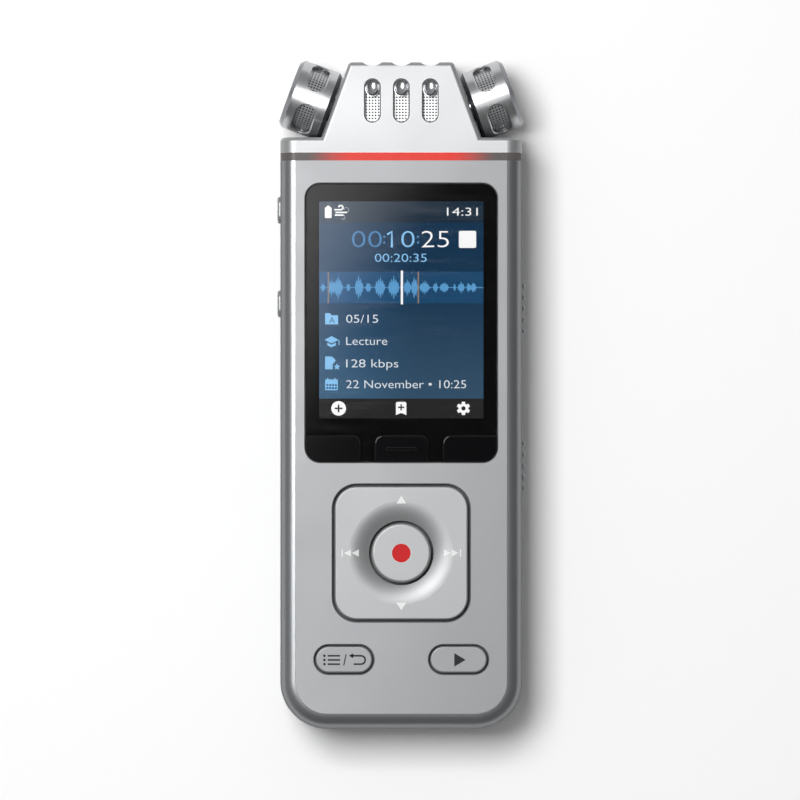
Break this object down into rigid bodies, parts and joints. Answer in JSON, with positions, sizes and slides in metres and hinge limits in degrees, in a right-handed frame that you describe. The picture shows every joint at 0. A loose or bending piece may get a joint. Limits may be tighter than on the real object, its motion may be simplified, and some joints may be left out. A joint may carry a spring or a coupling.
{
  "type": "digital voice recorder",
  "caption": "Slim handheld digital voice recorder with a metal head that holds angled drum microphones, a colour display with softkeys, a dished navigation pad and side controls.",
  "frame": {"origin": "centre of the footprint on the resting back face, lying on its back", "axes": "+X to the right when the display is read, +Y towards the microphone head, +Z out of the display"},
  "size_m": [0.046, 0.124, 0.017],
  "materials": {
    "face_silver": "fine bead-blasted silver, satin",
    "key_silver": "metallic silver lacquer on moulded keys, satin",
    "frame_gunmetal": "gunmetal grey anodised, satin",
    "back_silver": "metallic silver paint on moulded plastic, satin",
    "head_silver": "cast and fine-blasted, bright silver, satin",
    "drum_metal": "turned round the axis, with polished bevels",
    "mesh_metal": "bright punched sheet",
    "light_guide": "smoked translucent red, gloss",
    "lens_clear": "clear hard-coated lens with a black printed border",
    "display": "colour display, lit",
    "softkey_black": "piano black, gloss",
    "record_red": "red insert, satin gloss",
    "side_key_grey": "metallic grey paint, satin",
    "chassis_black": "black moulded plastic",
    "adhesive_black": "black adhesive foam",
    "flex_amber": "amber film",
    "silicone": "dark grey silicone",
    "board_green": "green solder mask",
    "chip_black": "moulded black epoxy",
    "switch_steel": "stamped steel over black bases",
    "wiper_black": "black moulded plastic",
    "screw_steel": "plated steel",
    "socket_black": "black moulded plastic",
    "socket_steel": "stamped and plated steel",
    "led_red": "red diffused lamps",
    "cell_foil": "aluminium laminate pouch",
    "speaker_black": "black basket and cone",
    "capsule_metal": "drawn can"
  },
  "bodies": {
    "casing": {"mid_frame": "frame_gunmetal", "front_plate": "face_silver", "back_cover": "back_silver", "cover_screws": "screw_steel", "inner_chassis": "chassis_black", "display_lens": "lens_clear", "lcd_module": "display", "lcd_adhesive": "adhesive_black", "lcd_flex": "flex_amber", "main_board": "board_green", "board_screws": "screw_steel", "board_chips": "chip_black", "dome_switches": "switch_steel", "side_switches": "switch_steel", "slide_switches": "switch_steel", "microphone_jack": "socket_black", "headphone_jack": "socket_black", "usb_socket": "socket_steel", "card_socket": "socket_steel", "indicator_leds": "led_red", "battery": "cell_foil", "battery_pad": "adhesive_black", "speaker": "speaker_black", "speaker_gasket": "adhesive_black", "light_guide": "light_guide", "head_shell": "head_silver", "head_screws": "screw_steel", "head_mesh": "mesh_metal", "head_capsule": "capsule_metal", "head_capsule_boot": "silicone", "drum_screws": "screw_steel", "drum_shell_left": "drum_metal", "drum_mesh_left": "mesh_metal", "drum_grille_left": "mesh_metal", "drum_capsule_left": "capsule_metal", "drum_shell_right": "drum_metal", "drum_mesh_right": "mesh_metal", "drum_grille_right": "mesh_metal", "drum_capsule_right": "capsule_metal"},
    "softkey_left": {"softkey_left": "softkey_black"},
    "softkey_centre": {"softkey_centre": "softkey_black"},
    "softkey_right": {"softkey_right": "softkey_black"},
    "nav_rocker": {"nav_mat": "silicone"},
    "nav_pad": {"nav_pad": "key_silver"},
    "record_button": {"record_button": "key_silver", "record_dot": "record_red"},
    "menu_key": {"menu_key": "key_silver"},
    "play_key": {"play_key": "key_silver"},
    "volume_up_key": {"volume_up_key": "side_key_grey"},
    "volume_down_key": {"volume_down_key": "side_key_grey"},
    "power_slider": {"power_slider": "side_key_grey", "power_switch_wiper": "wiper_black"},
    "mode_slider": {"mode_slider": "side_key_grey", "mode_switch_wiper": "wiper_black"}
  },
  "joints": [
    {"name": "softkey_left_press", "type": "slide", "parent": "casing", "child": "softkey_left", "axis": [0, 0, -1], "range_m": [0, 0.00035], "stiffness_N_per_m": 3000, "springref_m": -0.0002},
    {"name": "softkey_centre_press", "type": "slide", "parent": "casing", "child": "softkey_centre", "axis": [0, 0, -1], "range_m": [0, 0.00035], "stiffness_N_per_m": 3000, "springref_m": -0.0002},
    {"name": "softkey_right_press", "type": "slide", "parent": "casing", "child": "softkey_right", "axis": [0, 0, -1], "range_m": [0, 0.00035], "stiffness_N_per_m": 3000, "springref_m": -0.0002},
    {"name": "record_press", "type": "slide", "parent": "casing", "child": "record_button", "axis": [0, 0, -1], "range_m": [0, 0.00035], "stiffness_N_per_m": 3000, "springref_m": -0.0002},
    {"name": "menu_press", "type": "slide", "parent": "casing", "child": "menu_key", "axis": [0, 0, -1], "range_m": [0, 0.00035], "stiffness_N_per_m": 3000, "springref_m": -0.0002},
    {"name": "play_press", "type": "slide", "parent": "casing", "child": "play_key", "axis": [0, 0, -1], "range_m": [0, 0.00035], "stiffness_N_per_m": 3000, "springref_m": -0.0002},
    {"name": "volume_up_press", "type": "slide", "parent": "casing", "child": "volume_up_key", "axis": [1, 0, 0], "range_m": [0, 0.0003], "stiffness_N_per_m": 3000, "springref_m": -0.0002},
    {"name": "volume_down_press", "type": "slide", "parent": "casing", "child": "volume_down_key", "axis": [1, 0, 0], "range_m": [0, 0.0003], "stiffness_N_per_m": 3000, "springref_m": -0.0002},
    {"name": "nav_up_down", "type": "hinge", "parent": "casing", "child": "nav_rocker", "pos_m": [0, -0.0294, 0.01425], "axis": [1, 0, 0], "range_deg": [-1.2, 1.2], "stiffness_Nm_per_rad": 0.5},
    {"name": "nav_left_right", "type": "hinge", "parent": "nav_rocker", "child": "nav_pad", "pos_m": [0, -0.0294, 0.01425], "axis": [0, 1, 0], "range_deg": [-1.2, 1.2], "stiffness_Nm_per_rad": 0.5},
    {"name": "power_slide", "type": "slide", "parent": "casing", "child": "power_slider", "axis": [0, 1, 0], "range_m": [-0.0015, 0.0015], "stiffness_N_per_m": 300},
    {"name": "mode_slide", "type": "slide", "parent": "casing", "child": "mode_slider", "axis": [0, 1, 0], "range_m": [-0.0015, 0.0015]}
  ]
}
